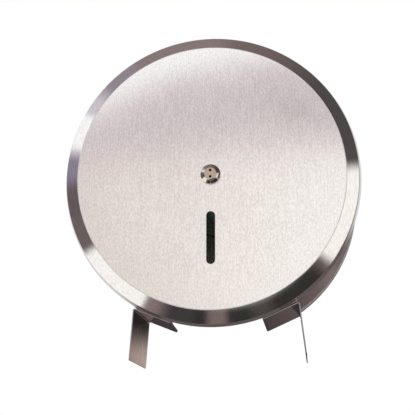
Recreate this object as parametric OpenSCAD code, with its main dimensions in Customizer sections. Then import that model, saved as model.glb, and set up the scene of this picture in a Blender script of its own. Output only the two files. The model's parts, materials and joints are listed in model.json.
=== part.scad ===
// Jumbo toilet roll dispenser: a round sheet-steel case that hangs on a wall.
// The wall plane is y = 0, the cover faces -Y and +Z is up.
// The origin is where the roll's axis meets the wall.
// Millimetres and degrees throughout.

/* [Case] */
// Diameter over the rear edge of the cover's lip
case_d = 268.2; // [250:0.2:330]
// Depth from the wall to the flat of the cover
case_depth = 125; // [118:1:140]
// Thickness of the sheet of the cover, the wall and the pan
sheet = 0.9; // [0.8:0.1:1]
// Depth of the pan's rim, which holds the drum wall
pan_rim = 12; // [8:1:20]
// Spacing of the wall screws across
screw_span_x = 130; // [100:5:150]
// Spacing of the wall screws up and down
screw_span_z = 100; // [80:5:120]
// Diameter of the wall screw holes
screw_hole_d = 6.5; // [5:0.5:8]

/* [Cover] */
// Width of the bevel, measured across the face
bevel_w = 11.4; // [9:0.2:15]
// Depth of the bevel
bevel_depth = 7.5; // [6:0.5:9]
// Depth of the lip behind the bevel
lip_depth = 7.8; // [7:0.2:9]
// How far the lip flares out over its depth
lip_flare = 1.8; // [1.6:0.1:2.2]
// Width of the slot that shows how much paper is left
slot_w = 7.7; // [6:0.1:10]
// Length of the slot
slot_l = 47.2; // [30:0.1:60]
// Distance of the slot's middle below the lock
slot_drop = 57; // [50:1:70]
// Opening angle of the outlet in the wall, to each side of its middle
outlet_half_angle = 21; // [20.5:0.1:21.5]

/* [Tear blades] */
// Thickness of a blade
blade_t = 0.9; // [0.8:0.1:1.2]
// How far the outlet and its two blades sit round from straight down, towards +X
outlet_turn = 1.5; // [-1.5:0.1:1.5]
// Direction in which a blade's flange touches the wall, measured from the outlet's middle
blade_seat_angle = 22.9; // [22.5:0.1:24]
// Direction of the flange's inner end, measured from the outlet's middle
blade_end_angle = 17.7; // [16.5:0.1:18.5]
// Length of the flange from its seat to the fold
blade_flange = 22.9; // [20:0.1:24]
// Space between the two layers of the hemmed flange
hem_gap = 0.8; // [0.5:0.1:1]
// Angle at which the left flange's inner end runs out of square
left_end_slant = 3.5; // [0:0.5:4]
// Length of the leg that tears the paper
blade_leg = 45.4; // [30:0.1:55]
// Outward lean of the leg from the outlet's middle line
blade_lean = 5.4; // [0:0.1:12]

/* [Spindle and hub] */
// Outside diameter of the spindle tube
spindle_d = 29; // [28:0.5:32]
// Outside diameter of the turning hub that carries the roll's core
hub_d = 39; // [38:0.5:43]
// Diameter of the hub's disc, which stops the roll at the back
hub_disc_d = 66; // [50:1:90]

/* [Lock] */
// Diameter of the domed collar
dome_d = 17.8; // [16:0.2:19]
// Height of the dome over the cover
dome_h = 5.3; // [4.5:0.1:7]
// Slope of the dome where it meets its straight edge
dome_slope = 50; // [44:1:56]
// Diameter of the rotor's flat face
rotor_d = 9.88; // [9.4:0.02:10]
// Spacing of the two key holes
key_span = 5.8; // [5:0.1:6.5]
// Diameter of a key hole
key_hole_d = 2; // [1.5:0.1:2.2]

/* [Hidden] */
$fn = 120;

gap = 0.05;      // between two pieces that are fixed together
run_gap = 0.06;  // radial clearance of a turning fit

// Case
lip_r = case_d / 2;
bevel_r = lip_r - lip_flare;
face_r = bevel_r - bevel_w;
bevel_rear = case_depth - bevel_depth;
lip_rear = bevel_rear - lip_depth;
wall_r = lip_r - 2.15;
wall_front = lip_rear + 2.8;
hem_depth = 5.5;         // of the closed hem along the wall's front edge
window_depth = 6.5;      // of the wall's notch for the hinge
pan_r = wall_r + gap + sheet;
pan_bend_r = 1.4;
wall_rear = sheet + pan_bend_r;
notch_half_w = 49;       // the pan's notch over the paper outlet
notch_top = 112;

// Blades
blade_front = lip_rear - 1.2;
blade_rear = pan_rim + 0.25;
blade_fold_r = 1.2;

// Spindle and hub, as distances from the wall
flange_r = 30;
flange_t = 3;
boss_r = 18;
boss_front = 6;
rivet_pcd = 46;
rivet_r = 2;
tube_wall = 1.5;
tube_front = case_depth - 25;
cap_front = tube_front + 2;
cap_r = spindle_d / 2 + 2.5;
cap_spigot = 8;
cap_slot_w = 10;
cap_slot_l = 23.6;
washer_t = 0.8;
hub_rear = 7.4;
hub_front = tube_front - 1.2;
hub_disc_t = 3;
hub_wall = 2;
bush_l = 12;

// Lock, as distances from the wall
barrel_r = 7;
barrel_rear = case_depth - 14.5;
barrel_floor = 2;
nut_t = 4.5;
nut_across = 19;
lock_washer_t = 1;
neck_r = 3.5;
cam_front = tube_front - 0.4;
cam_t = 2.4;
cam_l = 21;
cam_w = 8;
tang = 5;
cam_screw_r = 1.5;

// Hinge on the left
knuckle_r = 2.4;
hinge_pin_r = 1.2;
hinge_x = -(wall_r + knuckle_r + 0.3);
hinge_at = case_depth - 35;
hinge_y = 5;
hinge_half_l = 18;
knuckle_split = 6.5;
leaf_t = 0.9;
leaf_in = wall_r + 0.35;
leaf_rear = hinge_at - 28;
rivet_rows = [hinge_at - 10, hinge_at - 22];
hinge_rivet_r = 1.6;

STEEL = [0.78, 0.76, 0.75];
DARK_STEEL = [0.5, 0.48, 0.47];
CHROME = [0.88, 0.88, 0.88];
DARK_PLASTIC = [0.13, 0.14, 0.135];
WHITE_PLASTIC = [0.9, 0.9, 0.88];
RUBBER = [0.1, 0.1, 0.1];

// Turns a drawing with z as the distance from the wall and y as up into the frame of the part.
module from_wall() {
    rotate([90, 0, 0]) children();
}

// A ring about the roll's axis, between two distances from the wall.
module ring(outer, inner, rear, front) {
    translate([0, 0, rear]) difference() {
        cylinder(r = outer, h = front - rear);
        translate([0, 0, -1]) cylinder(r = inner, h = front - rear + 2);
    }
}

function unit(v) = v / norm(v);

// The arc that rounds corner b of the path a, b, c.
function arc_at(a, b, c, r, n = 5) =
    let (u = unit(a - b), w = unit(c - b), half = acos(u * w) / 2,
        centre = b + unit(u + w) * r / sin(half),
        from = b + u * r / tan(half) - centre, to = b + w * r / tan(half) - centre,
        start = atan2(from.y, from.x), turn = (atan2(to.y, to.x) - start + 540) % 360 - 180)
    [for (i = [0:n]) centre + r * [cos(start + turn * i / n), sin(start + turn * i / n)]];

// A path with its inner corners rounded.
function rounded(path, r) = [
    path[0],
    for (i = [1:len(path) - 2]) each arc_at(path[i - 1], path[i], path[i + 1], r),
    path[len(path) - 1]
];

// The left-hand normal of a path at point i, long enough to keep a bent sheet's thickness at a corner.
function side(path, i) =
    let (last = len(path) - 1,
        before = unit(path[max(i, 1)] - path[max(i, 1) - 1]),
        after = unit(path[min(i, last - 1) + 1] - path[min(i, last - 1)]),
        mid = unit(before + after))
    [-mid.y, mid.x] / (mid * after);

// The section of a sheet of thickness t bent along a path.
function sheet_section(path, t) = concat(
    [for (i = [0:len(path) - 1]) path[i] + side(path, i) * t / 2],
    [for (i = [len(path) - 1:-1:0]) path[i] - side(path, i) * t / 2]
);

// A wedge that opens downwards, to cut a ring between two angles from straight down.
module lower_wedge(half_angle, rear, front, reach = 200) {
    translate([0, 0, rear]) linear_extrude(front - rear)
        polygon([[0, 0], reach * [sin(half_angle), -cos(half_angle)], [0, -reach * 1.2],
            reach * [-sin(half_angle), -cos(half_angle)]]);
}

module slot(width, length, rear, front) {
    straight = (length - width) / 2;
    translate([-width / 2, -straight, rear]) cube([width, 2 * straight, front - rear]);
    for (end = [-1, 1])
        translate([0, end * straight, rear]) cylinder(d = width, h = front - rear);
}

// ---- Case ----

module back_pan() {
    mid = pan_r - sheet / 2;
    section = rounded([[0, sheet / 2], [mid, sheet / 2], [mid, pan_rim]], pan_bend_r);
    color(STEEL) from_wall() difference() {
        rotate_extrude() polygon(sheet_section(section, sheet));
        difference() {
            rotate(outlet_turn) lower_wedge(outlet_half_angle, -1, pan_rim + 1);
            translate([0, 0, -2]) cylinder(r = wall_r - 0.3, h = pan_rim + 4);
        }
        translate([-notch_half_w, -200, -1]) cube([2 * notch_half_w, 200 - notch_top, pan_rim + 2]);
        for (x = [-1, 1] * screw_span_x / 2, y = [-1, 1] * screw_span_z / 2)
            translate([x, y, -1]) cylinder(d = screw_hole_d, h = sheet + 2);
        for (a = [45:90:315])
            rotate(a) translate([rivet_pcd / 2, 0, -1]) cylinder(r = rivet_r + gap, h = sheet + 2);
    }
}

module drum_wall() {
    color(STEEL) from_wall() difference() {
        union() {
            ring(wall_r, wall_r - sheet, wall_rear, wall_front);
            ring(wall_r, wall_r - 2 * sheet, wall_front - hem_depth, wall_front);
        }
        rotate(outlet_turn) lower_wedge(outlet_half_angle, 0, wall_front + 1);
        translate([-200, hinge_y - hinge_half_l - 3, wall_front - window_depth])
            cube([100, 2 * hinge_half_l + 6, 20]);
        hinge_rivet_places() cylinder(r = hinge_rivet_r + gap, h = 12);
    }
}

// The blade on the right, drawn with x along the flange and -y out from the wall, and turned into place.
// One sheet makes a layer against the wall, a turn at the inner end, a layer back to the fold, and the leg.
// The turn may run out of square; a box trims that part to the blade's depth.
module tear_blade(end_slant) {
    upper = wall_r + gap + blade_t / 2;
    lower = upper + blade_t + hem_gap;
    inner_end = -wall_r * tan(blade_seat_angle - blade_end_angle);
    hem_end = blade_flange - 1;
    hem_run = hem_end - inner_end + 10;
    fold_angle = blade_lean - blade_seat_angle;
    knee = [blade_flange, -lower];
    foot = knee + blade_leg * [sin(fold_angle), -cos(fold_angle)];
    leg = rounded([[0, -lower], knee, foot], blade_fold_r);
    hem = rounded([[hem_run, -lower], [0, -lower], [0, -upper], [hem_run, -upper]], (lower - upper) * 0.4);
    depth = blade_front - blade_rear;
    rotate(blade_seat_angle) {
        translate([0, 0, blade_rear]) linear_extrude(depth) polygon(sheet_section(leg, blade_t));
        intersection() {
            translate([inner_end - 20, -lower - 5, blade_rear]) cube([hem_end - inner_end + 20, 15, depth]);
            translate([inner_end, 0, blade_front]) rotate([0, -end_slant, 0]) translate([0, 0, -depth - 10])
                linear_extrude(depth + 20) polygon(sheet_section(hem, blade_t));
        }
    }
}

module right_tear_blade() {
    color(STEEL) from_wall() rotate(outlet_turn) tear_blade(0);
}

module left_tear_blade() {
    color(STEEL) from_wall() rotate(outlet_turn) mirror([1, 0, 0]) tear_blade(left_end_slant);
}

// ---- Spindle ----

module spindle_flange() {
    rear = sheet + gap;
    color(DARK_STEEL) from_wall() difference() {
        union() {
            ring(flange_r, spindle_d / 2 + gap, rear, rear + flange_t);
            ring(boss_r, spindle_d / 2 + gap, rear, boss_front);
        }
        for (a = [45:90:315])
            rotate(a) translate([rivet_pcd / 2, 0, 0]) cylinder(r = rivet_r + gap, h = 10);
    }
}

module spindle_rivets() {
    head_rear = sheet + flange_t + 2 * gap;
    color(CHROME) from_wall() for (a = [45:90:315]) rotate(a) translate([rivet_pcd / 2, 0, 0]) {
        translate([0, 0, 0.1]) cylinder(r = rivet_r, h = head_rear);
        translate([0, 0, head_rear]) cylinder(r1 = rivet_r * 1.8, r2 = rivet_r * 1.1, h = 1.5);
    }
}

module spindle_tube() {
    color(STEEL) from_wall() ring(spindle_d / 2, spindle_d / 2 - tube_wall, sheet + gap, tube_front - gap);
}

// The cap in the tube's front end. The lock's cam goes in through its slot and turns behind it.
module spindle_end_cap() {
    bore = spindle_d / 2 - tube_wall - gap;
    color(CHROME) from_wall() difference() {
        union() {
            translate([0, 0, tube_front]) cylinder(r = cap_r, h = cap_front - tube_front);
            ring(bore, bore - 1, tube_front - cap_spigot, tube_front + 0.5);
        }
        slot(cap_slot_w, cap_slot_l, tube_front - 0.5, cap_front + 1);
    }
}

module hub_rear_washer() {
    color(WHITE_PLASTIC) from_wall()
        ring(boss_r, spindle_d / 2 + 0.2, boss_front + gap, boss_front + gap + washer_t);
}

module hub_front_washer() {
    color(STEEL) from_wall()
        ring(cap_r - 0.2, spindle_d / 2 + 0.2, tube_front - gap - washer_t, tube_front - gap);
}

// ---- Hub ----

module core_hub() {
    bore = hub_d / 2 - hub_wall;
    color(DARK_PLASTIC) from_wall() {
        section = [
            [bore, hub_rear], [hub_disc_d / 2 - 1, hub_rear], [hub_disc_d / 2, hub_rear + 1],
            [hub_disc_d / 2, hub_rear + hub_disc_t - 1], [hub_disc_d / 2 - 1, hub_rear + hub_disc_t],
            [hub_d / 2, hub_rear + hub_disc_t], [hub_d / 2, hub_front - 1.5], [hub_d / 2 - 1.2, hub_front],
            [bore, hub_front]
        ];
        rotate_extrude() polygon(section);
    }
}

module bush(rear) {
    color(WHITE_PLASTIC) from_wall()
        ring(hub_d / 2 - hub_wall - gap, spindle_d / 2 + run_gap, rear, rear + bush_l);
}

module hub_front_bush() {
    bush(hub_front - bush_l - 0.2);
}

module hub_rear_bush() {
    bush(hub_rear + 0.2);
}

// ---- Hinge ----

// Places the drum leaf's rivets, each along +X from outside the leaf.
module hinge_rivet_places() {
    for (at = rivet_rows, y = [-11, 11])
        translate([-(wall_r + 1.6), hinge_y + y, at]) rotate([0, 90, 0]) children();
}

// A knuckle between two heights, with the neck that runs from it along the drum towards `neck_end`.
module knuckle(low, high, neck_end) {
    translate([hinge_x, hinge_y + low, hinge_at]) rotate([-90, 0, 0])
        cylinder(r = knuckle_r, h = high - low);
    translate([hinge_x + 0.4, hinge_y + low, min(neck_end, hinge_at)])
        cube([2.6, high - low, abs(neck_end - hinge_at)]);
}

// What a leaf leaves out: the pin's hole, and the drum that it lies on.
module hinge_clearance(radius) {
    translate([hinge_x, hinge_y - 50, hinge_at]) rotate([-90, 0, 0])
        cylinder(r = hinge_pin_r + run_gap, h = 100);
    cylinder(r = radius, h = lip_rear - 0.5);
}

module hinge_drum_leaf() {
    radius = wall_r + gap;
    color(STEEL) from_wall() difference() {
        union() {
            intersection() {
                translate([0, 0, leaf_rear]) cylinder(r = radius + leaf_t, h = hinge_at - 3 - leaf_rear);
                translate([-200, hinge_y - hinge_half_l, 0]) cube([100, 2 * hinge_half_l, 200]);
            }
            knuckle(-hinge_half_l, -knuckle_split - 0.3, hinge_at - 5);
            knuckle(knuckle_split + 0.3, hinge_half_l, hinge_at - 5);
        }
        hinge_clearance(radius);
        hinge_rivet_places() cylinder(r = hinge_rivet_r + gap, h = 12);
    }
}

module hinge_rivets() {
    color(CHROME) from_wall() hinge_rivet_places() {
        cylinder(r1 = 2, r2 = 2.8, h = 0.6);
        translate([0, 0, 0.4]) cylinder(r = hinge_rivet_r, h = 4.5);
        translate([0, 0, 4.2]) cylinder(r = 2.4, h = 1);
    }
}

module hinge_pin() {
    head = 0.8;
    foot = hinge_y - hinge_half_l - head;
    span = 2 * hinge_half_l;
    color(CHROME) from_wall() translate([hinge_x, foot, hinge_at]) rotate([-90, 0, 0]) {
        cylinder(r = hinge_pin_r + 0.8, h = head - gap);
        cylinder(r = hinge_pin_r, h = span + 2 * head);
        translate([0, 0, span + head + gap]) cylinder(r = hinge_pin_r + 0.8, h = head - gap);
    }
}

// The radius of the lip's inner face at a distance from the wall.
function lip_inner(at) = lip_r - sheet - lip_flare * (at - lip_rear) / lip_depth;

module hinge_cover_leaf() {
    front = bevel_rear - 3.2;
    outer = lip_inner(lip_rear) - gap;
    color(STEEL) from_wall() difference() {
        union() {
            intersection() {
                union() {
                    translate([0, 0, hinge_at + 3]) cylinder(r = outer, h = lip_rear - hinge_at - 3);
                    translate([0, 0, lip_rear - 0.01])
                        cylinder(r1 = outer, r2 = lip_inner(front) - gap, h = front - lip_rear);
                }
                translate([-200, hinge_y - hinge_half_l, 0]) cube([100, 2 * hinge_half_l, 200]);
            }
            knuckle(-knuckle_split, knuckle_split, hinge_at + 5);
        }
        hinge_clearance(leaf_in);
        translate([0, 0, lip_rear - 0.6])
            cylinder(r1 = leaf_in, r2 = lip_inner(front) - gap - leaf_t, h = front - lip_rear + 0.7);
    }
}

// ---- Cover ----

module front_cover() {
    half = sheet / 2;
    path = concat(
        [[0, case_depth - half]],
        arc_at([0, case_depth - half], [face_r - 0.3, case_depth - half],
            [bevel_r - half, bevel_rear - 0.3], 1.6),
        arc_at([face_r - 0.3, case_depth - half], [bevel_r - half, bevel_rear - 0.3],
            [lip_r - half, lip_rear], 1),
        [[lip_r - half, lip_rear]]
    );
    color(STEEL) from_wall() difference() {
        rotate_extrude() polygon(sheet_section(path, sheet));
        translate([0, 0, case_depth - 5]) cylinder(r = barrel_r + 0.1, h = 10);
        translate([0, -slot_drop, 0]) slot(slot_w, slot_l, case_depth - 5, case_depth + 5);
    }
}

// Four rubber pads inside the bevel, which stop the cover rattling on the wall's front edge.
module cover_buffers() {
    outer = wall_r - 0.8;
    inner = outer - 3.6;
    slope = bevel_depth / bevel_w;
    rise = bevel_rear + slope * (bevel_r - outer) - sheet * sqrt(1 + slope * slope) - 2 * gap;
    color(RUBBER) from_wall() for (a = [40, 140, 220, 320]) rotate(a) intersection() {
        rotate_extrude() polygon([[inner, wall_front + 0.4], [outer, wall_front + 0.4], [outer, rise],
            [inner, rise + slope * (outer - inner)]]);
        translate([inner - 5, -6, wall_front]) cube([20, 12, 20]);
    }
}

// ---- Lock ----

module lock_collar() {
    base = dome_d / 2;
    flat = rotor_d / 2 + 0.25;
    dome_r = base / sin(dome_slope);
    flat_slope = asin(flat / dome_r);
    sweep = flat_slope - dome_slope;
    dome = [for (i = [0:8]) let (slope = dome_slope + sweep * i / 8)
        [dome_r * sin(slope), dome_h + dome_r * (cos(slope) - cos(flat_slope))]];
    color(CHROME) from_wall() difference() {
        union() {
            translate([0, 0, case_depth]) rotate_extrude()
                polygon(concat([[0, 0], [base, 0]], dome, [[0, dome_h]]));
            translate([0, 0, barrel_rear]) cylinder(r = barrel_r, h = case_depth - barrel_rear + 0.5);
        }
        translate([0, 0, barrel_rear + barrel_floor]) cylinder(r = rotor_d / 2 + run_gap, h = 40);
        translate([0, 0, barrel_rear - 1]) cylinder(r = neck_r + run_gap, h = 5);
    }
}

module lock_washer() {
    front = case_depth - sheet;
    color(STEEL) from_wall() ring(barrel_r + 4.5, barrel_r + 0.15, front - lock_washer_t, front - gap);
}

module lock_nut() {
    front = case_depth - sheet - lock_washer_t - gap;
    color(CHROME) from_wall() translate([0, 0, front - nut_t]) difference() {
        cylinder(d = nut_across / cos(30), h = nut_t, $fn = 6);
        translate([0, 0, -1]) cylinder(r = barrel_r + gap, h = nut_t + 2);
    }
}

module lock_rotor() {
    front = case_depth + dome_h - 0.15;
    tang_rear = cam_front - cam_t - 0.3;
    seat = barrel_rear + barrel_floor + 2 * gap;
    color(CHROME) from_wall() difference() {
        union() {
            translate([0, 0, seat]) cylinder(r = rotor_d / 2, h = front - seat);
            translate([0, 0, cam_front]) cylinder(r = neck_r, h = seat - cam_front + 1);
            translate([-tang / 2, -tang / 2, tang_rear]) cube([tang, tang, cam_front - tang_rear + 1]);
        }
        for (end = [-1, 1])
            translate([0, end * key_span / 2, front - 3]) cylinder(d = key_hole_d, h = 5);
        ring(neck_r + 1, neck_r - 0.6, barrel_rear - 1.4, barrel_rear - 0.6);
        translate([0, 0, tang_rear - 1]) cylinder(r = cam_screw_r + gap, h = 9);
    }
}

// The clip in the rotor's groove, open on one side.
module rotor_clip() {
    rear = barrel_rear - 1.4 + gap;
    color(STEEL) from_wall() difference() {
        ring(barrel_r - 0.4, neck_r - 0.6 + gap, rear, rear + 0.7);
        translate([-2, 0, rear - 1]) cube([4, 20, 3]);
    }
}

module lock_cam() {
    hole = tang + 2 * gap;
    color(DARK_STEEL) from_wall() difference() {
        translate([-cam_w / 2, -cam_l / 2, cam_front - cam_t]) cube([cam_w, cam_l, cam_t - gap]);
        translate([-hole / 2, -hole / 2, cam_front - cam_t - 1]) cube([hole, hole, cam_t + 2]);
    }
}

module cam_washer() {
    front = cam_front - cam_t - 0.3 - gap;
    color(STEEL) from_wall() ring(3.9, cam_screw_r + 0.1, front - 0.7, front);
}

module cam_screw() {
    head_front = cam_front - cam_t - 1 - 2 * gap;
    color(CHROME) from_wall() translate([0, 0, head_front]) difference() {
        union() {
            cylinder(r = cam_screw_r, h = 8);
            translate([0, 0, -2]) cylinder(r = 2.8, h = 2);
        }
        translate([-0.4, -5, -3]) cube([0.8, 10, 2]);
    }
}

back_pan();
drum_wall();
left_tear_blade();
right_tear_blade();
spindle_flange();
spindle_rivets();
spindle_tube();
spindle_end_cap();
hub_rear_washer();
hub_front_washer();
hinge_drum_leaf();
hinge_rivets();
hinge_pin();
front_cover();
hinge_cover_leaf();
cover_buffers();
lock_collar();
lock_washer();
lock_nut();
lock_rotor();
rotor_clip();
lock_cam();
cam_washer();
cam_screw();
core_hub();
hub_front_bush();
hub_rear_bush();
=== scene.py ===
import json
import math

import bpy
import numpy as np
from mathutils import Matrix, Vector


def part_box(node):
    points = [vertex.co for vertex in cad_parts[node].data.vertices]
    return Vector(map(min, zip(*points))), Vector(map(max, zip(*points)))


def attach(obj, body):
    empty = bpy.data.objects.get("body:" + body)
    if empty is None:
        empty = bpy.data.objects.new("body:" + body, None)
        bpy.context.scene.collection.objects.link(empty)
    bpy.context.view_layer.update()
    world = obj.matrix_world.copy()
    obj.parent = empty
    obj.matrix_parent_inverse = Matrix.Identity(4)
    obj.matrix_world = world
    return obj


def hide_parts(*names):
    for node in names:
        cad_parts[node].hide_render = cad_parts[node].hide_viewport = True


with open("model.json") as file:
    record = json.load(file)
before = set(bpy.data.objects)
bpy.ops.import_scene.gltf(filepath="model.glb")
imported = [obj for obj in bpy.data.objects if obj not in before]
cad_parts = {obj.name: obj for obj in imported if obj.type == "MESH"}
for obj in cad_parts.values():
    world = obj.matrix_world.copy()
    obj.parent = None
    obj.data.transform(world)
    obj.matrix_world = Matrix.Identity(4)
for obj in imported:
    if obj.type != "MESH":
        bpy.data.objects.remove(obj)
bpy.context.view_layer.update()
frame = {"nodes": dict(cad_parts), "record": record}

# A round steel dispenser for jumbo toilet rolls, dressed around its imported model.
# Metres, +Z up. The wall is y = 0 and the cover faces -Y. The axis is the roll's, through the origin, and
# "distance" is the distance from the wall, -y.

# ---- Sizes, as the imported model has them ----

MM = 0.001
SHEET = 0.9 * MM
FIT = 0.05 * MM             # between pieces that are fixed together

cover_low, cover_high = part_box("front_cover")
CASE_DEPTH = -cover_low.y
LIP_R = cover_high.x
LIP_REAR = -cover_high.y
LIP_FLARE = 1.8 * MM
BEVEL_WIDTH = 11.4 * MM
BEVEL_DEPTH = 7.5 * MM
BEVEL_R = LIP_R - LIP_FLARE
FACE_R = BEVEL_R - BEVEL_WIDTH
BEVEL_REAR = CASE_DEPTH - BEVEL_DEPTH
FACE_BEND_R = 1.6 * MM
LIP_BEND_R = 1.0 * MM
BEND_EASE = 0.3 * MM        # the bends' corners lie this much short of those sizes
BEVEL_FINISH_R = FACE_R - 0.6 * MM
LOCK_HOLE_R = 7.1 * MM
SLOT_W = 7.7 * MM
SLOT_L = 47.2 * MM
SLOT_DROP = 57 * MM

drum_low, drum_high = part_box("drum_wall")
DRUM_INSET = 2.15 * MM      # from the lip's outside to the drum's
DRUM_R = LIP_R - DRUM_INSET
DRUM_FRONT = -drum_low.y
DRUM_REAR = -drum_high.y
OUTLET_TURN = math.radians(1.5)
OUTLET_HALF_ANGLE = math.radians(21)
HEM_DEPTH = 5.5 * MM
HEM_FIT = 0.02 * MM         # half the gap inside the closed hem
HINGE_Z = 5 * MM
HINGE_HALF_L = 18 * MM
HINGE_ROOM = 3 * MM         # from the hinge to each end of its window
WINDOW_AT = DRUM_FRONT - 6.5 * MM

BLADE_T = 0.9 * MM
BLADE_SEAT = math.radians(22.9)
BLADE_END = math.radians(17.7)
BLADE_FLANGE = 22.9 * MM
BLADE_LEG = 45.4 * MM
BLADE_LEAN = math.radians(5.4)
BLADE_HEM_GAP = 0.8 * MM
BLADE_FOLD_R = 1.2 * MM
BLADE_REAR = 12.25 * MM
BLADE_FRONT = LIP_REAR - 1.2 * MM
BLADE_CORNER_R = 1.6 * MM
LEFT_END_SLANT = math.radians(3.5)

collar_low, collar_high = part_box("lock_collar")
DOME_R = collar_high.x
DOME_FRONT = -collar_low.y
DOME_SLOPE = math.radians(50)
BARREL_R = 7 * MM
BARREL_REAR = -collar_high.y
BARREL_FLOOR = 2 * MM
NECK_R = 3.56 * MM
ROTOR_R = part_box("lock_rotor")[1].x
BORE_FIT = 0.06 * MM        # from the rotor to its bore
BORE_RIM = 0.25 * MM        # from the rotor to where the dome starts
KEY_SPAN = 5.8 * MM
KEY_HOLE_R = 1 * MM


# ---- Materials ----

class Link:
    """One output in a material's or the world's node tree. Arithmetic on it adds Math nodes there."""

    def __init__(self, tree, output=None):
        self.tree = tree
        self.output = output

    def node(self, kind, settings, sockets, result=0):
        """Adds a node: its settings first, then values or links, by the socket's name or number."""
        made = self.tree.nodes.new(kind)
        for name, value in settings.items():
            setattr(made, name, value)
        for name, value in sockets.items():
            if isinstance(value, Link):
                self.tree.links.new(value.output, made.inputs[name])
            else:
                made.inputs[name].default_value = value
        return Link(self.tree, made.outputs[result])

    def maths(self, operation, first, second=0.0):
        return self.node("ShaderNodeMath", {"operation": operation}, {0: first, 1: second})

    def __add__(self, other):
        return self.maths("ADD", self, other)

    def __sub__(self, other):
        return self.maths("SUBTRACT", self, other)

    def __rsub__(self, other):
        return self.maths("SUBTRACT", other, self)

    def __mul__(self, other):
        return self.maths("MULTIPLY", self, other)

    __radd__ = __add__
    __rmul__ = __mul__

    def rise(self, low, high):
        """0 below low, 1 above high, and a smooth step between them."""
        return self.node("ShaderNodeMapRange", {"interpolation_type": "SMOOTHSTEP"},
                         {"Value": self, "From Min": low, "From Max": high})

    def within(self, low, high, soft):
        """1 between low and high, fading to 0 over a soft edge to each side."""
        return self.rise(low - soft, low + soft) * (1 - self.rise(high - soft, high + soft))

    def blend(self, first, second):
        """Goes from one colour to another as this value goes from 0 to 1."""
        colours = {6: (*first, 1) if isinstance(first, tuple) else first,
                   7: (*second, 1) if isinstance(second, tuple) else second}
        return self.node("ShaderNodeMix", {"data_type": "RGBA"}, {0: self, **colours}, result=2)

    def noise(self, place, scale, detail=2.0, rough=0.5):
        """A noise value about 0.5 at a place."""
        return self.node("ShaderNodeTexNoise", {}, {"Vector": place, "Scale": scale, "Detail": detail,
                                                    "Roughness": rough})

    def stretched(self, place, stretch):
        """A place with each axis scaled, so that a pattern read there is drawn out along the small ones."""
        return self.node("ShaderNodeVectorMath", {"operation": "MULTIPLY"}, {0: place, 1: stretch})

    def axis(self, place, name):
        return self.node("ShaderNodeSeparateXYZ", {}, {0: place}, result="XYZ".index(name))


def material(name, paint, **uniform):
    """A Principled material. Paint gets the tree and the object's coordinates, and returns the sockets that
    vary."""
    made = bpy.data.materials.new(name)
    made.use_nodes = True
    tree = made.node_tree
    shader = tree.nodes["Principled BSDF"]
    for socket, value in uniform.items():
        shader.inputs[socket.replace("_", " ")].default_value = value
    start = Link(tree)
    place = start.node("ShaderNodeTexCoord", {}, {}, result=3)
    for socket, value in paint(start, place).items():
        tree.links.new(value.output, shader.inputs[socket])
    return made


def metal(name, paint, **uniform):
    return material(name, paint, Metallic=1.0, **uniform)


def bump(link, height, depth):
    """The normal of a relief whose height runs from 0 to 1 over a depth in metres."""
    return link.node("ShaderNodeBump", {}, {"Height": height, "Distance": depth, "Strength": 1.0})


def round_place(link, place):
    """A place as its distance from the axis, its turn about the axis and its y, for turned pieces."""
    x, y, z = (link.axis(place, name) for name in "XYZ")
    radius = link.maths("SQRT", x * x + z * z)
    turn = link.maths("ARCTAN2", z, x)
    return link.node("ShaderNodeCombineXYZ", {}, {0: radius, 1: turn, 2: y})


def brushed_steel(colour, roughness, stretch, depth, contrast=0.14, turned=False):
    """Brushed sheet. Short scratches and long faint lines are drawn out along the small axes of stretch,
    over a soft cloudiness. The scratches differ in tone by about the contrast and have a slight relief. The
    lines are as fine as the scratches across and seven times as long."""
    dark = tuple((1 - contrast) * channel for channel in colour)
    long_lines = tuple(axis if axis > 600 else axis / 7 for axis in stretch)

    def paint(link, place):
        along = round_place(link, place) if turned else place
        scratches = link.noise(link.stretched(along, stretch), 1.0, detail=1.5, rough=0.6)
        lines = link.noise(link.stretched(along, long_lines), 1.0, detail=2.0, rough=0.5)
        cloud = link.noise(place, 16.0, detail=3.0)
        tone = scratches * 0.62 + lines * 0.26 + cloud * 0.12
        return {"Base Color": tone.rise(0.36, 0.64).blend(dark, colour),
                "Roughness": cloud * 0.05 + lines * 0.05 + (roughness - 0.05),
                "Normal": bump(link, scratches * 0.6 + lines * 0.4, depth)}

    return paint


def bright_metal(colour, roughness, scale, depth):
    """Machined or plated metal with faint marks and a slightly uneven polish."""
    dark = tuple(0.85 * channel for channel in colour)

    def paint(link, place):
        marks = link.noise(place, scale, detail=3.0)
        haze = link.noise(place, 60.0, detail=2.0)
        return {"Base Color": haze.rise(0.35, 0.65).blend(dark, colour),
                "Roughness": haze * 0.08 + (roughness - 0.04),
                "Normal": bump(link, marks, depth)}

    return paint


def nickel_brass(colour, roughness):
    """A turned brass face with worn nickel on it. The two key holes are painted near black inside, which is
    painted shade in the recesses, and they are matt there.
    """
    worn = tuple(0.9 * channel for channel in colour)

    def paint(link, place):
        x, z = link.axis(place, "X"), link.axis(place, "Z")
        aside = link.maths("ABSOLUTE", z) - KEY_SPAN / 2
        from_hole = link.maths("SQRT", x * x + aside * aside)
        solid = from_hole.rise(KEY_HOLE_R + 0.1 * MM, KEY_HOLE_R + 0.3 * MM)
        rings = link.noise(link.stretched(round_place(link, place), (9000, 2, 9000)), 1.0)
        wear = link.noise(place, 420.0, detail=3.0)
        plating = wear.rise(0.4, 0.65).blend(worn, colour)
        # painted shade: inside the key holes the colour goes near black, standing in for the shade in those
        # recesses
        return {"Base Color": solid.blend((0.012, 0.006, 0.003), plating),
                "Roughness": rings * 0.06 + (roughness + 0.47) - solid * 0.5,
                "Normal": bump(link, rings, 0.001 * MM)}

    return paint


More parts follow.
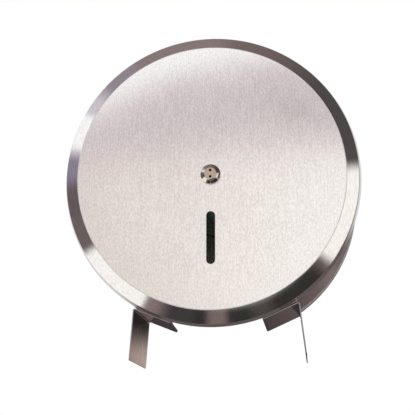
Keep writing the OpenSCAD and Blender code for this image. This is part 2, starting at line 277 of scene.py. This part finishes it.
def moulded(colour, roughness):
    """Moulded plastic or rubber with a fine spark-eroded skin and a little scuffing."""
    dark = tuple(0.8 * channel for channel in colour)

    def paint(link, place):
        skin = link.noise(place, 1500.0, detail=2.0)
        scuff = link.noise(place, 70.0, detail=5.0, rough=0.7)
        return {"Base Color": scuff.rise(0.35, 0.6).blend(dark, colour),
                "Roughness": scuff * 0.2 + (roughness - 0.1),
                "Normal": bump(link, skin, 0.03 * MM)}

    return paint


cover_steel = metal("cover_steel", brushed_steel((0.98, 0.953, 0.922), 0.13, (1010, 1010, 410), 0.0006 * MM,
                                                 contrast=0.22), Anisotropic=0.5)
bevel_steel = metal("bevel_steel", brushed_steel((0.97, 0.95, 0.935), 0.08, (1200, 1200, 120), 0.0004 * MM,
                                                 contrast=0.2))
case_steel = metal("case_steel", brushed_steel((0.74, 0.69, 0.67), 0.3, (1300, 30, 1300), 0.0012 * MM,
                                               contrast=0.3, turned=True))
blade_steel = metal("blade_steel", brushed_steel((0.78, 0.71, 0.69), 0.12, (300, 620, 170), 0.002 * MM,
                                                 contrast=0.42))
cut_edge = metal("cut_edge", bright_metal((0.46, 0.42, 0.41), 0.4, 1400.0, 0.01 * MM))
plain_steel = metal("plain_steel", brushed_steel((0.62, 0.61, 0.60), 0.3, (900, 90, 900), 0.003 * MM))
bright_steel = metal("bright_steel", bright_metal((0.85, 0.85, 0.85), 0.18, 700.0, 0.004 * MM))
lock_chrome = metal("lock_chrome", bright_metal((0.78, 0.75, 0.68), 0.05, 300.0, 0.0006 * MM))
rotor_brass = metal("rotor_brass", nickel_brass((0.60, 0.49, 0.37), 0.17))
zinc = metal("zinc", bright_metal((0.62, 0.6, 0.55), 0.34, 900.0, 0.008 * MM))
hub_plastic = material("hub_plastic", moulded((0.095, 0.120, 0.104), 0.5))
bush_plastic = material("bush_plastic", moulded((0.84, 0.84, 0.81), 0.35))
buffer_rubber = material("buffer_rubber", moulded((0.035, 0.035, 0.035), 0.7))

SLOT_MATERIALS = {
    "cover_steel": cover_steel, "case_steel": case_steel, "plain_steel": plain_steel,
    "bright_steel": bright_steel, "lock_chrome": lock_chrome, "zinc": zinc, "hub_plastic": hub_plastic,
    "bush_plastic": bush_plastic, "buffer_rubber": buffer_rubber,
}
for part in frame["record"]["subparts"]:
    carried = frame["nodes"][part["node"]]
    carried.data.materials.clear()
    carried.data.materials.append(SLOT_MATERIALS[part["material_slot"]])
frame["nodes"]["lock_rotor"].data.materials[0] = rotor_brass


# ---- Surfaces ----

SHADE_SHARP = math.radians(35)      # shading breaks at edges sharper than this
ROUND_SHARP = math.radians(60)      # and edges sharper than this are rounded


def bent_line(corners, radii, steps=8):
    """A line with rounded corners: each corner gives way to an arc of its radius that touches both of its
    sides. Returns the points and, at each, the unit normal to the left of the way along the line."""
    corners = [np.asarray(corner, float) for corner in corners]
    points, normals = [], []

    def add(point, along):
        points.append(point)
        normals.append((-along[1], along[0]))

    ways = [(b - a) / np.linalg.norm(b - a) for a, b in zip(corners, corners[1:])]
    add(corners[0], ways[0])
    for corner, before, after, radius in zip(corners[1:-1], ways, ways[1:], radii):
        turn = math.atan2(before[0] * after[1] - before[1] * after[0], before @ after)
        reach = radius * math.tan(abs(turn) / 2)
        left = np.array([-before[1], before[0]]) * math.copysign(1, turn)
        centre = corner - before * reach + left * radius
        for part in np.linspace(0, turn, steps + 1):
            cos, sin = math.cos(part), math.sin(part)
            spoke = np.array([-left[0] * cos + left[1] * sin, -left[0] * sin - left[1] * cos])
            add(centre + spoke * radius,
                (before[0] * cos - before[1] * sin, before[0] * sin + before[1] * cos))
    add(corners[-1], ways[-1])
    return np.array(points), np.array(normals)


def filled(line, normals, step):
    """The same line with even steps along its long straights, for a surface with well shaped cells."""
    points, sides = [line[:1]], [normals[:1]]
    for a, b, normal in zip(line, line[1:], normals[1:]):
        share = np.linspace(0, 1, max(1, math.ceil(np.linalg.norm(b - a) / step)) + 1)[1:, None]
        points.append(a + (b - a) * share)
        sides.append(np.repeat(normal[None], len(share), 0))
    return np.concatenate(points), np.concatenate(sides)


def grid_faces(rows, columns, round_rows=False, round_columns=False):
    """The quads of a grid of points, numbered row by row, closed on itself where it is round."""
    i, j = np.meshgrid(np.arange(rows if round_rows else rows - 1),
                       np.arange(columns if round_columns else columns - 1), indexing="ij")
    below, beside = (i + 1) % rows, (j + 1) % columns
    return np.stack([i * columns + j, i * columns + beside, below * columns + beside, below * columns + j],
                    -1).reshape(-1, 4)


def both_skins(outer, inner, faces):
    """Closes a sheet: its outer skin, its inner skin turned over, and a rim along each open edge."""
    count = len(outer)
    edges = np.concatenate([faces[:, [k, (k + 1) % 4]] for k in range(4)])
    known = set(map(tuple, edges[:, ::-1].tolist()))
    rim = np.array([edge for edge in edges.tolist() if tuple(edge) not in known])
    walls = np.stack([rim[:, 1], rim[:, 0], rim[:, 0] + count, rim[:, 1] + count], -1)
    return np.concatenate([outer, inner]), np.concatenate([faces, faces[:, ::-1] + count, walls])


def piece(name, points, faces, body, finish, stands_for, edge):
    """A mesh object in place, with its body, its material and the nodes that it stands for. Its sharp edges
    are rounded by the width of edge."""
    used, order = np.unique(faces, return_inverse=True)
    mesh = bpy.data.meshes.new(name)
    mesh.from_pydata(np.asarray(points)[used].tolist(), [], order.reshape(faces.shape).tolist())
    mesh.validate()
    mesh.shade_smooth()
    mesh.set_sharp_from_angle(angle=SHADE_SHARP)
    mesh.materials.append(finish)
    made = bpy.data.objects.new(name, mesh)
    bpy.context.scene.collection.objects.link(made)
    rounding = made.modifiers.new("rounded edges", "BEVEL")
    rounding.width = edge
    rounding.segments = 2
    rounding.limit_method = "ANGLE"
    rounding.angle_limit = ROUND_SHARP
    rounding.harden_normals = True
    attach(made, body)
    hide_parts(*stands_for)
    return made


def second_finish(made, finish, marked):
    """Gives the marked faces of a piece a second material."""
    made.data.materials.append(finish)
    made.data.polygons.foreach_set("material_index", marked.astype(np.int32))


def revolved(line, turns):
    """Carries a line of (radius, distance) points round the axis: x = r cos t, y = -d, z = r sin t."""
    radius, distance = line[:, 0], line[:, 1]
    return np.stack([np.outer(np.cos(turns), radius),
                     np.broadcast_to(-distance, (len(turns), len(distance))),
                     np.outer(np.sin(turns), radius)], -1).reshape(-1, 3)


# ---- Cover ----

ROUND_STEPS = 360           # of the bends, one a degree
FLAT_ROWS = 14              # of each of the flat's two grids
CHORD_TURN = 12             # degrees below level at which the chord meets the flat's edge
CHORD_STEPS = 60


def crown(x, z):
    """How far the face falls back from its flat: nothing in the middle and 0.3 mm at its edge, as the
    seventh power of the radius, with a ripple of 0.02 mm such as thin sheet has."""
    radius = np.hypot(x, z)
    ripple = np.sin(x * 37 + 1.3) * np.sin(z * 29 + 0.4) * (1 - (radius / FACE_R) ** 2)
    return 0.3 * MM * (radius / FACE_R) ** 7 + 0.02 * MM * ripple


def cover_rim():
    """The middle of the sheet from the edge of the flat over the bevel to the lip's end, as (radius,
    distance) points with normals. It starts as far back as the crown is there, and that fades out towards
    the bevel's outer edge."""
    half = SHEET / 2
    corners = [(0.5 * FACE_R, CASE_DEPTH - half), (FACE_R - BEND_EASE, CASE_DEPTH - half),
               (BEVEL_R - half, BEVEL_REAR - BEND_EASE), (LIP_R - half, LIP_REAR)]
    line, normals = bent_line(corners, (FACE_BEND_R, LIP_BEND_R))
    line, normals = line[1:], normals[1:]
    drop = crown(line[0, 0], 0.0)
    fade = np.clip(1 - (line[:, 0] - line[0, 0]) / (BEVEL_R - line[0, 0]), 0, 1)
    line[:, 1] -= drop * fade
    return line, normals


def slot_outline(count):
    """The view slot's outline in count (x, z) points, from its top down its left and up its right."""
    round_steps = 12
    straight_steps = count // 2 - 2 * round_steps
    end_r, straight = SLOT_W / 2, (SLOT_L - SLOT_W) / 2
    quarter = np.linspace(0, math.pi / 2, round_steps + 1)[:-1]
    top_left = np.stack([-end_r * np.sin(quarter), straight + end_r * np.cos(quarter)], -1)
    left = np.stack([np.full(straight_steps, -end_r),
                     np.linspace(straight, -straight, straight_steps + 1)[:-1]], -1)
    bottom_left = np.stack([-end_r * np.cos(quarter), -straight - end_r * np.sin(quarter)], -1)
    half_slot = np.concatenate([top_left, left, bottom_left])
    return np.concatenate([half_slot, -half_slot]) - (0, SLOT_DROP)


def flat_grid(hole, border, numbers, start):
    """Rows of (x, z) points in straight lines from a hole to a border, closer together at the hole, and
    their quads. The last row is the border's own points, given by their numbers."""
    share = (np.linspace(0, 1, FLAT_ROWS) ** 1.5)[:-1, None, None]
    inside = (hole * (1 - share) + border * share).reshape(-1, 2)
    table = np.concatenate([np.arange(len(inside)).reshape(FLAT_ROWS - 1, -1) + start, numbers[None]])
    cells = grid_faces(FLAT_ROWS, len(border), round_columns=True)
    return inside, table.reshape(-1)[cells[:, ::-1]]


def front_cover():
    """The pressed cover. Its flat is two grids, one round the lock's hole and one round the slot, that meet
    on a level chord; each runs in straight lines from its hole to the rim. The bends, the bevel and the lip
    are one line turned about the axis. The inner skin is the same surface moved in by the sheet's
    thickness."""
    half = SHEET / 2
    line, normals = cover_rim()
    flat_r = line[0, 0]
    turns = np.radians(np.arange(ROUND_STEPS))
    rim_outer = revolved(line + normals * half, turns)
    rim_inner = revolved(line - normals * half, turns)
    rim_faces = grid_faces(ROUND_STEPS, len(line), round_rows=True)

    def flat_edge(first, last):
        """The flat's edge from one degree to another, as (x, z) points and as their numbers."""
        degrees = np.arange(first, last + 1)
        turn = np.radians(degrees)
        return np.stack([np.cos(turn), np.sin(turn)], -1) * flat_r, degrees % ROUND_STEPS * len(line)

    start = len(rim_outer)
    chord_z = -flat_r * math.sin(math.radians(CHORD_TURN))
    chord_x = flat_r * math.cos(math.radians(CHORD_TURN))
    chord = np.stack([np.linspace(-chord_x, chord_x, CHORD_STEPS + 1)[1:-1],
                      np.full(CHORD_STEPS - 1, chord_z)], -1)
    chord_numbers = start + np.arange(CHORD_STEPS - 1)

    arc, arc_numbers = flat_edge(-CHORD_TURN, 180 + CHORD_TURN)
    border = np.concatenate([arc, chord])
    spokes = border / np.linalg.norm(border, axis=1, keepdims=True)
    upper_flat, upper_faces = flat_grid(spokes * LOCK_HOLE_R, border,
                                        np.concatenate([arc_numbers, chord_numbers]), start + len(chord))

    arc, arc_numbers = flat_edge(180 + CHORD_TURN, 360 - CHORD_TURN)
    border = np.concatenate([arc, chord[::-1]])
    hole = np.roll(slot_outline(len(border)), -CHORD_STEPS // 2, axis=0)
    lower_flat, lower_faces = flat_grid(hole, border, np.concatenate([arc_numbers, chord_numbers[::-1]]),
                                        start + len(chord) + len(upper_flat))

    flat = np.concatenate([chord, upper_flat, lower_flat])
    depth = CASE_DEPTH - crown(flat[:, 0], flat[:, 1])
    outer = np.stack([flat[:, 0], -depth, flat[:, 1]], -1)
    inner = outer + (0, SHEET, 0)
    faces = np.concatenate([rim_faces, upper_faces, lower_faces])
    points, faces = both_skins(np.concatenate([rim_outer, outer]), np.concatenate([rim_inner, inner]), faces)
    made = piece("cover_shell", points, faces, "cover", cover_steel, ["front_cover"],
                 edge=0.18 * MM)
    centres = np.array([polygon.center for polygon in made.data.polygons])
    second_finish(made, bevel_steel, np.hypot(centres[:, 0], centres[:, 2]) > BEVEL_FINISH_R)


# ---- Drum ----

DRUM_STEPS = 55             # a radian
REAR_POINTS = 12            # of the drum's section, as far as the hinge's window


def drum_wall():
    """The rolled wall: a section of (radius, distance) with a closed hem at the front, turned about the axis
    from one side of the outlet to the other. The hinge's window is open to the front, and its cells are left
    out."""
    half = SHEET / 2
    middle = DRUM_R - half
    fold = SHEET / 2 + HEM_FIT
    corners = [(middle, DRUM_REAR), (middle, DRUM_FRONT - half), (middle - 2 * fold, DRUM_FRONT - half),
               (middle - 2 * fold, DRUM_FRONT - HEM_DEPTH)]
    line, normals = bent_line(corners, (fold * 0.98, fold * 0.98), steps=6)
    rear = np.stack([np.full(REAR_POINTS, middle), np.linspace(DRUM_REAR, WINDOW_AT, REAR_POINTS)], -1)
    line = np.concatenate([rear, line[1:]])
    normals = np.concatenate([np.repeat(normals[:1], REAR_POINTS, 0), normals[1:]])

    down = OUTLET_TURN - math.pi / 2
    window = [math.pi - math.asin((HINGE_Z + HINGE_HALF_L + HINGE_ROOM) / DRUM_R),
              math.pi - math.asin((HINGE_Z - HINGE_HALF_L - HINGE_ROOM) / DRUM_R)]
    stops = [down + OUTLET_HALF_ANGLE, *window, down + 2 * math.pi - OUTLET_HALF_ANGLE]
    turns = np.concatenate([np.linspace(a, b, max(2, round((b - a) * DRUM_STEPS)))[:-1]
                            for a, b in zip(stops, stops[1:])] + [stops[-1:]])
    outer = revolved(line - normals * half, turns)
    inner = revolved(line + normals * half, turns)
    faces = grid_faces(len(turns), len(line))
    centre_turn = np.repeat((turns[:-1] + turns[1:]) / 2, len(line) - 1)
    column = np.tile(np.arange(len(line) - 1), len(turns) - 1)
    in_window = (centre_turn > window[0]) & (centre_turn < window[1]) & (column >= REAR_POINTS - 1)
    points, faces = both_skins(outer, inner, faces[~in_window][:, ::-1])
    piece("drum_shell", points, faces, "case", case_steel, ["drum_wall"], edge=0.15 * MM)


# ---- Tear blades ----

def tear_blade(name, node, side, slant):
    """A bent blade: a line drawn in the plane across the outlet, carried along its depth. The line is the
    layer against the drum, the turn at the inner end, the layer back to the fold, and the leg. A point is
    line(s) at distance(v). The turn runs out of square by a slant, which pulls x by tan(slant) * (front -
    distance) times how near it is to the turn. The foot's corners are quarter circles. The skins lie half a
    thickness to each side along the line's normal."""
    half = BLADE_T / 2
    upper = DRUM_R + FIT + half
    lower = upper + BLADE_T + BLADE_HEM_GAP
    inner_end = -DRUM_R * math.tan(BLADE_SEAT - BLADE_END)
    hem_end = BLADE_FLANGE - 1 * MM
    fold = BLADE_LEAN - BLADE_SEAT
    knee = (BLADE_FLANGE, -lower)
    foot = (knee[0] + BLADE_LEG * math.sin(fold), knee[1] - BLADE_LEG * math.cos(fold))
    turn_r = (lower - upper) * 0.4
    corners = [(hem_end, -upper), (inner_end, -upper), (inner_end, -lower), knee, foot]
    line, normals = bent_line(corners, (turn_r, turn_r, BLADE_FOLD_R))
    line, normals = filled(line, normals, 3 * MM)

    edge_steps = BLADE_CORNER_R * np.array([0, 0.04, 0.13, 0.3, 0.55, 1])
    distance = np.concatenate([BLADE_REAR + edge_steps,
                               np.linspace(BLADE_REAR + 4 * MM, BLADE_FRONT - 4 * MM, 24),
                               BLADE_FRONT - edge_steps[::-1]])
    base = np.repeat(line[:, None, :], len(distance), 1)
    on_flange = base[..., 1] > -lower - 0.01 * MM
    nearness = np.clip((hem_end - base[..., 0]) / (hem_end - inner_end), 0, 1) * on_flange
    base[..., 0] += math.tan(slant) * (BLADE_FRONT - distance) * nearness
    from_side = np.minimum(distance - BLADE_REAR, BLADE_FRONT - distance)
    inset = BLADE_CORNER_R - np.minimum(from_side, BLADE_CORNER_R)
    base[-1] -= ((BLADE_CORNER_R - np.sqrt(BLADE_CORNER_R ** 2 - inset ** 2))[:, None]
                 * (math.sin(fold), -math.cos(fold)))

    cos, sin = math.cos(BLADE_SEAT), math.sin(BLADE_SEAT)
    turn_cos, turn_sin = math.cos(OUTLET_TURN), math.sin(OUTLET_TURN)

    def skin(offset):
        """The drawing turned to its seat, mirrored for the left, and turned with the outlet."""
        x, z = (base[..., k] + normals[:, None, k] * offset for k in (0, 1))
        x, z = side * (x * cos - z * sin), x * sin + z * cos
        y = np.broadcast_to(-distance, x.shape)
        return np.stack([x * turn_cos - z * turn_sin, y, x * turn_sin + z * turn_cos], -1).reshape(-1, 3)

    faces = grid_faces(*base.shape[:2])
    if side > 0:
        faces = faces[:, ::-1]
    skin_cells = 2 * len(faces)
    points, faces = both_skins(skin(-half), skin(half), faces)
    made = piece(name, points, faces, "case", blade_steel, [node], edge=0.12 * MM)
    second_finish(made, cut_edge, np.arange(len(faces)) >= skin_cells)


# ---- Lock ----

def lock_dome():
    """The lock's collar, a closed (radius, distance) outline turned about the axis: a low dome, part of a
    ball, with a straight edge below it, on a barrel with a bore. At slope a the dome is at radius R sin a
    and R (cos flat - cos a) behind its top."""
    bore = ROTOR_R + BORE_FIT
    bore_end = BARREL_REAR + BARREL_FLOOR
    ball_r = DOME_R / math.sin(DOME_SLOPE)
    flat_slope = math.asin((ROTOR_R + BORE_RIM) / ball_r)
    dome = [(ball_r * math.sin(a), DOME_FRONT + ball_r * (math.cos(a) - math.cos(flat_slope)))
            for a in np.linspace(DOME_SLOPE, flat_slope, 20)]
    outline = [(NECK_R, BARREL_REAR), (BARREL_R, BARREL_REAR), (BARREL_R, CASE_DEPTH), (DOME_R, CASE_DEPTH),
               *dome, (bore, DOME_FRONT), (bore, bore_end), (NECK_R, bore_end)]
    count = 96
    turns = np.radians(np.arange(count) * 360 / count)
    faces = grid_faces(count, len(outline), round_rows=True, round_columns=True)
    piece("lock_dome", revolved(np.array(outline[::-1]), turns), faces, "cover", lock_chrome,
          ["lock_collar"], edge=0.1 * MM)


front_cover()
drum_wall()
tear_blade("right_blade", "right_tear_blade", 1, 0.0)
tear_blade("left_blade", "left_tear_blade", -1, LEFT_END_SLANT)
lock_dome()


# ---- Studio ----
# Facing is 1 straight in front of the face, 0 along the wall and -1 behind it. Around is in degrees up from
# the right, as the face is looked at.


def ring_of_panels(around, facing):
    """Panels that stand in a ring round the part, for the bevel. Off the directions that the bevel mirrors
    they are darker at the right and at the left, for the lock's dome."""
    ring = around.rise(50, 85).blend((0.080, 0.072, 0.072), (0.19, 0.145, 0.140))
    panels = [
        # from, to, softness, colour
        (90, 210, 6, (0.27, 0.215, 0.215)),
        (120, 160, 3, (0.31, 0.265, 0.31)),
        (133.5, 160, 4, (0.66, 0.61, 0.67)),
        (142, 154.6, 1.6, (1.06, 1.05, 1.07)),
        (157, 190, 2.5, (0.27, 0.24, 0.315)),
        (167, 200, 4, (0.145, 0.112, 0.125)),
        (-200, -164, 2.5, (0.16, 0.125, 0.130)),
        (-164.6, -118, 2.4, (1.05, 1.04, 1.02)),
        (-130.3, -110, 1.8, (0.24, 0.185, 0.180)),
        (-121, -105, 5, (0.055, 0.048, 0.049)),
        (-106, -20, 3, (0.034, 0.033, 0.030)),
        (-98, -88, 2.5, (0.20, 0.15, 0.148)),
        (-75, -64, 4, (0.075, 0.065, 0.060)),
        (-34, -26, 4, (0.14, 0.105, 0.095)),
        (-27.5, 18.2, 3.4, (1.06, 1.03, 0.98)),
    ]
    for low, high, soft, colour in panels:
        ring = around.within(low, high, soft).blend(ring, colour)
    lean = facing + around * 0.0036
    off_bevel = 1 - lean.rise(0.325, 0.365) + lean.rise(0.53, 0.57) * 0.6
    ring = (off_bevel * around.within(-24, 30, 5)).blend(ring, (0.16, 0.118, 0.10))
    steeper = 1 - (facing - around * 0.0046).rise(-0.68, -0.65)
    ring = (steeper * around.within(153, 180.5, 2)).blend(ring, (0.147, 0.13, 0.096))
    return ring


def bright_window(right, above):
    """The window that the face mirrors, by degrees to the right and above: brighter to the right, with a
    grey band over its upper part, a darker spot in the band, and light again at its top."""
    light = right.rise(-13, 3).blend((0.84, 0.765, 0.74), (1.05, 1.035, 1.025))
    band_at = above - right * 0.06
    light = band_at.rise(15.3, 17.0).blend(light, (0.665, 0.59, 0.63))
    spot = right.within(-2.5, 1.5, 2.0) * band_at.within(17.0, 18.6, 0.9)
    light = (spot * 0.9).blend(light, (0.47, 0.40, 0.41))
    top_at = above - right * 0.28
    light = top_at.rise(21.9, 22.7).blend(light, (1.11, 1.11, 1.15))
    window = right.within(-17, 9, 2) * above.within(3, 26, 2)
    return window.blend((0.66, 0.645, 0.635), light)


def room_behind(x, z, aside):
    """What the drum's side and the blades mirror. Near straight back it is dark, with a warm patch at the
    right and lighter above; further aside it is light above and dark below."""
    near = x.rise(0.03, 0.14).blend((0.055, 0.045, 0.050), (0.21, 0.155, 0.148))
    near = z.rise(-0.17, -0.14).blend((0.02, 0.022, 0.02), near)
    patch = x.within(0.10, 0.175, 0.012) * z.rise(0.035, 0.055)
    near = patch.blend(near, (0.70, 0.55, 0.50))
    near = z.rise(0.066, 0.092).blend(near, (0.022, 0.024, 0.022))
    near = z.rise(0.12, 0.2).blend(near, (0.40, 0.36, 0.35))
    outside = (z - x * 0.3).rise(-0.3, -0.05).blend((0.12, 0.10, 0.10), (0.72, 0.70, 0.70))
    return aside.rise(0.28, 0.42).blend(near, outside)


def studio_world():
    """A grey studio round a bright window in front, which only mirrored and glass rays see. The camera sees
    white, and a plain grey lights the rest. A dark line beside the window shows in the bend between the
    face and the bevel."""
    world = bpy.data.worlds.new("studio")
    bpy.context.scene.world = world
    world.use_nodes = True
    tree = world.node_tree
    tree.nodes.clear()
    link = Link(tree)
    way = link.node("ShaderNodeTexCoord", {}, {}, result=0)
    x, y, z = (link.axis(way, name) for name in "XYZ")
    facing = y * -1
    around = link.maths("ARCTAN2", z, x) * math.degrees(1)
    right = link.maths("ARCTAN2", x, facing) * math.degrees(1)
    above = link.maths("ARCSINE", z) * math.degrees(1)
    aside = link.maths("SQRT", x * x + z * z)

    front = bright_window(right, above)
    line = facing.within(0.62, 0.80, 0.03) * (x - z).rise(0.35, 0.6) * (1 - around.within(-40, 40, 6))
    front = line.blend(front, (0.085, 0.045, 0.040))
    shade = facing.rise(0.56, 0.64).blend(ring_of_panels(around, facing), front)
    shade = facing.rise(-0.5, -0.2).blend(room_behind(x, z, aside), shade)

    rays = {name: link.node("ShaderNodeLightPath", {}, {}, result=name)
            for name in ("Is Camera Ray", "Is Glossy Ray", "Is Transmission Ray")}
    mirror = link.maths("MAXIMUM", rays["Is Glossy Ray"], rays["Is Transmission Ray"])
    seen = mirror.blend((0.62, 0.62, 0.62), shade)
    seen = rays["Is Camera Ray"].blend(seen, (1.0, 1.0, 1.0))
    background = link.node("ShaderNodeBackground", {}, {"Color": seen, "Strength": 1.0})
    output = tree.nodes.new("ShaderNodeOutputWorld")
    tree.links.new(background.output, output.inputs["Surface"])


def floor():
    """A pale floor under the part. It shows to the camera and takes the shadow, and metal sees past it."""
    reach, level = 4.0, -0.42
    mesh = bpy.data.meshes.new("floor")
    mesh.from_pydata([(-reach, -reach, level), (reach, -reach, level), (reach, reach, level),
                      (-reach, reach, level)], [], [(0, 1, 2, 3)])
    mesh.materials.append(material("floor_paint", lambda link, place: {
        "Base Color": link.noise(place, 5.0).rise(0.2, 0.8).blend((0.86, 0.86, 0.86), (0.9, 0.9, 0.9))},
        Roughness=0.9))
    made = bpy.data.objects.new("floor", mesh)
    bpy.context.scene.collection.objects.link(made)
    made.visible_glossy = False


def put(name, data, place, turn):
    """A lamp or the camera at a place, with a turn."""
    made = bpy.data.objects.new(name, data)
    made.location = place
    made.rotation_euler = turn
    bpy.context.scene.collection.objects.link(made)
    return made


def towards(place, target):
    """The turn that points a lamp or the camera from a place to a target."""
    return (Vector(target) - Vector(place)).to_track_quat("-Z", "Y").to_euler()


def lamp(name, place, target, size, power):
    """A square soft lamp that looks at a target and doesn't show in metal."""
    data = bpy.data.lights.new(name, "AREA")
    data.size, data.energy = size, power
    put(name, data, place, towards(place, target)).visible_glossy = False


def inner_glow():
    """The faint light that the outlet lets in: a dim disc behind the cover that lights the pan, and a small
    one above the outlet that lights the hub from below and that metal doesn't mirror."""
    lamps = [
        # name, size in m, power, colour, distance behind the face, height, turn, seen by metal
        ("pan_glow", 0.21, 0.0012, (0.68, 1.0, 0.83), 14 * MM, 0.0, 90, True),
        ("hub_glow", 0.04, 0.016, (0.82, 1.0, 0.90), 42 * MM, -105 * MM, 180, False),
    ]
    for name, size, power, colour, behind, height, turn, mirrored in lamps:
        data = bpy.data.lights.new(name, "AREA")
        data.shape, data.size, data.energy, data.color = "DISK", size, power, colour
        made = put(name, data, (0, behind - CASE_DEPTH, height), (math.radians(turn), 0, 0))
        made.visible_camera, made.visible_glossy = False, mirrored


def camera():
    """The camera looks up at the face from below and a little from the right."""
    place, target = (0.08686, -1.06494, -0.24412), (0, -0.125, 0)
    data = bpy.data.cameras.new("camera")
    data.lens, data.sensor_width = 94.81, 36
    data.shift_x, data.shift_y = -0.0076, -0.0793
    bpy.context.scene.camera = put("camera", data, place, towards(place, target))


studio_world()
floor()
lamp("key", (-0.9, -1.6, 1.5), (0, -0.06, 0), 1.2, 14)
lamp("fill", (1.4, -1.0, 0.4), (0, -0.06, 0), 1.2, 5)
inner_glow()
camera()
bpy.context.scene.view_settings.view_transform = "Standard"
